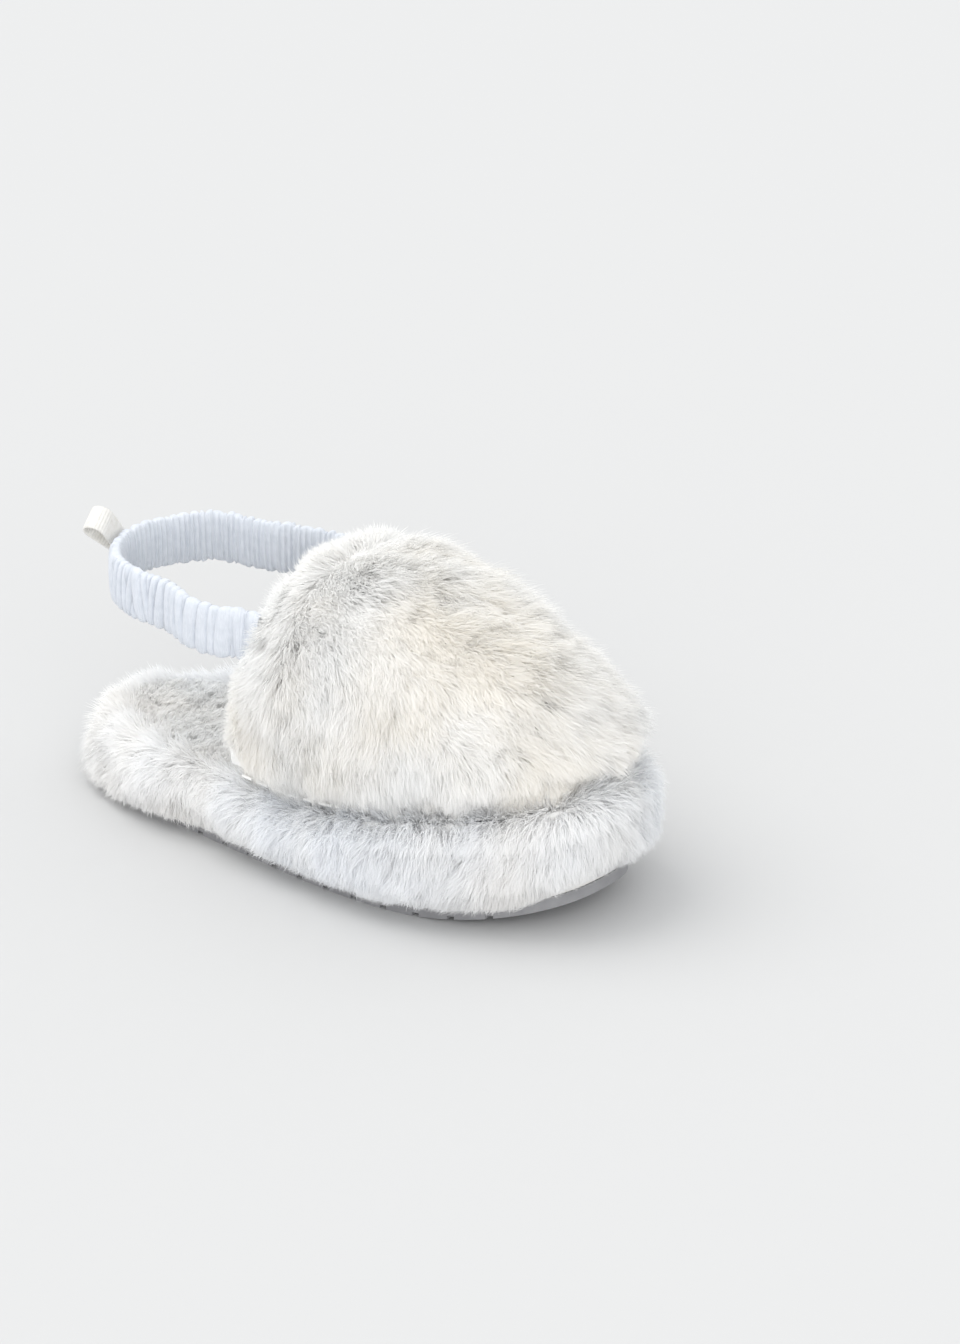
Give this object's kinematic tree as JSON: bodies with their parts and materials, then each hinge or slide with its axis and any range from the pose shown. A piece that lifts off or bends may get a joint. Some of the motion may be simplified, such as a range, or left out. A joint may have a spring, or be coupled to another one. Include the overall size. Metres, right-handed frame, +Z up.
{
  "type": "slingback slipper",
  "caption": "Toddler's slingback house slipper: fur-covered platform sole, closed faux-fur toe, open heel, gathered elastic heel strap and a ribbon pull loop.",
  "frame": {"origin": "on the floor, under the middle of the sole's length and width", "axes": "+Z up from the floor, +Y towards the heel, -Y towards the toe, -X towards the outer (lateral) side of this right slipper"},
  "size_m": [0.0704, 0.1501, 0.073],
  "materials": {
    "outsole_rubber": "matte moulded rubber with a cross-groove grip",
    "midsole_foam": "closed-cell foam",
    "board": "fibre board",
    "footbed_foam": "open-cell foam",
    "footbed_plush": "short-pile plush",
    "sidewall_fur": "long-pile faux fur",
    "vamp_fur": "long-pile faux fur",
    "interlining": "non-woven felt",
    "vamp_lining": "brushed fleece",
    "binding": "woven tape",
    "thread": "polyester thread",
    "strap_casing": "gathered satin-weave cotton",
    "elastic": "knitted elastic",
    "ribbon": "grosgrain ribbon"
  },
  "bodies": {
    "slipper": {"outsole": "outsole_rubber", "midsole": "midsole_foam", "insole_board": "board", "footbed_foam": "footbed_foam", "footbed_plush": "footbed_plush", "sidewall_fur": "sidewall_fur", "vamp_fur": "vamp_fur", "vamp_interlining": "interlining", "vamp_lining": "vamp_lining", "topline_binding": "binding", "vamp_seam_stitches": "thread", "topline_stitches": "thread", "strap_end_lateral": "elastic", "strap_end_medial": "elastic", "bartack_lateral": "thread", "bartack_medial": "thread"},
    "heel_strap": {"strap_casing": "strap_casing", "strap_elastic": "elastic", "pull_tab_bartack": "thread"},
    "pull_loop": {"pull_tab": "ribbon"}
  },
  "joints": [
    {"name": "strap_swing", "type": "hinge", "parent": "slipper", "child": "heel_strap", "pos_m": [0, 0.021, 0.0525], "axis": [1, 0, 0], "range_deg": [-25, 100], "stiffness_Nm_per_rad": 0.02},
    {"name": "loop_flop", "type": "hinge", "parent": "heel_strap", "child": "pull_loop", "pos_m": [-0.004, 0.0677, 0.0555], "axis": [0.7913, 0.1682, 0.5878], "range_deg": [-110, 5], "stiffness_Nm_per_rad": 0.002}
  ]
}
